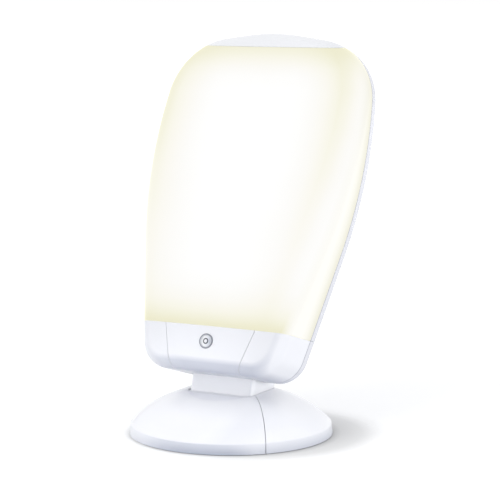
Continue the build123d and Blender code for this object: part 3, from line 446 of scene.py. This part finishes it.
finishes = {
    "shell_white": shell_white("white_plastic"),
    "screen": lit_screen(),
    "tube_glass": tube_glass(),
    "ring_grey": grey_ring(),
    "button_silver": silvered(),
    "foot_rubber": dark("foot_rubber", ((0.030, 0.030, 0.033), (0.055, 0.055, 0.058)), 300.0,
                        90.0, (0.7, 0.85), 1400.0, 3.0, 0.00006),
    "cast_ballast": dark("painted_cast_iron", ((0.035, 0.036, 0.040), (0.060, 0.060, 0.064)), 60.0,
                         80.0, (0.5, 0.68), 420.0, 4.0, 0.0003),
    "zinc_steel": metal("zinc_steel", (0.62, 0.63, 0.66), (0.50, 0.51, 0.54)),
    "screw_steel": metal("screw_steel", (0.66, 0.66, 0.68), (0.54, 0.54, 0.56), 0.26,
                         (300.0, 300.0, 40.0)),
    "ballast_case": metal("ballast_case", (0.80, 0.81, 0.82), (0.70, 0.71, 0.73), 0.36,
                          (500.0, 40.0, 30.0)),
    "contact_brass": metal("contact_brass", (0.80, 0.62, 0.30), (0.68, 0.50, 0.22), 0.22,
                           (300.0, 60.0, 300.0)),
    "reflector_white": plastic("white_enamel", (0.93, 0.93, 0.92), (0.90, 0.90, 0.89), 0.22, 0.6,
                               0.00004, 160.0),
    "lamp_plastic": plastic("lamp_plastic", (0.84, 0.84, 0.82), (0.79, 0.79, 0.76), 0.45, 0.1),
    "clip_plastic": plastic("clip_plastic", (0.78, 0.80, 0.81), (0.70, 0.72, 0.74), 0.40, 0.1),
    "washer_plastic": plastic("washer_plastic", (0.60, 0.59, 0.56), (0.52, 0.51, 0.48), 0.48, 0.0),
    "wire_insulation": plastic("wire_insulation", (0.82, 0.82, 0.80), (0.76, 0.76, 0.73), 0.42, 0.1),
    "black_plastic": plastic("black_plastic", (0.028, 0.028, 0.032), (0.045, 0.045, 0.050), 0.38, 0.2,
                             0.00004, 500.0),
}
own_finishes = {
    "base_shell": base_white_painted,
    "base_front_panel": base_white_painted,
    "neck_cover": neck_white_lit,
    "rear_cover": rear_white_shaded,
    "rear_lower_housing": rear_white_shaded,
    "top_cap": cap_white_lit,
}

for part in frame["record"]["subparts"]:
    name = part["node"]
    materials = frame["nodes"][name].data.materials
    materials.clear()
    materials.append(own_finishes.get(name, finishes[part["material_slot"]]))

# ================================================================ stage


def paper():
    """White for the camera and for reflections, with a painted shadow under the base besides the cast
    shadow, and mid grey for bounced light.
    """
    n = material("paper_floor")
    place = n.place()
    axes = n.split(place)
    x, y = axes["X"], axes["Y"]
    # a painted shadow: a soft dark patch under the base, mostly behind it and to its right
    from_patch = n.hypot(n.math("SUBTRACT", x, 0.036), n.math("SUBTRACT", y, 0.018))
    patch = n.curve(from_patch, [(0.0, 0.36), (0.105, 0.36), (0.132, 0.26), (0.154, 0.08), (0.174, 0.0)])
    lit = n.one_minus(patch)
    # the glow whitens the floor outside the rim, and again far off
    away = n.hypot(x, y)
    near_glow = n.product(n.span(away, 0.128, 0.146, 0.0, 0.30), lit)
    far_glow = n.span(away, 0.8, 6.0, 0.0, 0.8)
    glow = n.shader("ShaderNodeEmission", Color=(1.0, 1.0, 1.0),
                    Strength=n.math("ADD", near_glow, far_glow))
    grey = n.product(lit, n.uneven(place, 3.0, 0.80, 0.81))
    both = n.add("ShaderNodeAddShader")
    n.link(n.shader("ShaderNodeBsdfDiffuse", Color=grey), both.inputs[0])
    n.link(glow, both.inputs[1])
    bounced = n.shader("ShaderNodeBsdfDiffuse", Color=(0.74, 0.75, 0.77))
    return n.surface(n.bounced_or_seen(bounced, both.outputs[0]))


grid = bmesh.new()
bmesh.ops.create_grid(grid, x_segments=8, y_segments=8, size=40.0)
floor_mesh = bpy.data.meshes.new("floor")
grid.to_mesh(floor_mesh)
grid.free()
floor = bpy.data.objects.new("floor", floor_mesh)
floor.data.materials.append(paper())
scene.collection.objects.link(floor)

scene.world = bpy.data.worlds.new("studio")
sky = Nodes(scene.world, "ShaderNodeOutputWorld")
soft = sky.shader("ShaderNodeBackground", Color=(0.97, 0.98, 1.0), Strength=0.78)
bright = sky.shader("ShaderNodeBackground", Color=(1.0, 1.0, 1.0), Strength=1.0)
sky.surface(sky.bounced_or_seen(soft, bright))


def aim(name, data, at, target):
    """Put a light at a place, pointing at another, kept out of the gloss."""
    lamp = bpy.data.objects.new(name, data)
    lamp.location = at
    lamp.rotation_euler = (Vector(target) - Vector(at)).to_track_quat("-Z", "Y").to_euler()
    lamp.visible_glossy = False
    scene.collection.objects.link(lamp)


def softbox(name, at, target, width, height, power):
    data = bpy.data.lights.new(name, "AREA")
    data.shape = "RECTANGLE"
    data.size = width
    data.size_y = height
    data.energy = power
    aim(name, data, at, target)


softbox("key", (-0.6, -1.9, 2.4), (0, 0, 0.25), 1.6, 1.6, 18.4)
softbox("front", (0.2, -3.0, 0.35), (0, 0, 0.15), 1.6, 0.6, 2.6)
softbox("side", (2.5, 0.2, 0.28), (0, 0, 0.15), 1.6, 0.5, 20.5)
softbox("back", (-0.6, 2.4, 1.6), (0, 0, 0.25), 1.8, 1.8, 12.0)

# a low, narrow light on the neck, which the head would leave too dark
neck_light = bpy.data.lights.new("neck", "SPOT")
neck_light.energy = 104.0
neck_light.spot_size = radians(6.0)
neck_light.spot_blend = 1.0
neck_light.shadow_soft_size = 0.12
aim("neck", neck_light, (-0.1, -1.6, 0.12), (-0.014, -0.05, 0.026))

# ================================================================ camera

AIM_Y = 0.0045                # the camera circles a point this far behind the base's middle
AZIMUTH, DISTANCE, HEIGHT = radians(29.5), 2.568, 0.5931
PITCH_DOWN, TURN_RIGHT = radians(7.79), radians(0.51)
SENSOR = 36.0                 # mm
FOCAL_PER_WIDTH = 1983.5 / 500

camera_data = bpy.data.cameras.new("camera")
camera_data.sensor_width = SENSOR
camera_data.lens = FOCAL_PER_WIDTH * SENSOR
camera_data.clip_end = 200.0
camera = bpy.data.objects.new("camera", camera_data)
camera.location = (DISTANCE * sin(AZIMUTH), AIM_Y - DISTANCE * cos(AZIMUTH), HEIGHT)
camera.rotation_euler = (pi / 2 - PITCH_DOWN, 0.0, AZIMUTH - TURN_RIGHT)
scene.collection.objects.link(camera)
scene.camera = camera
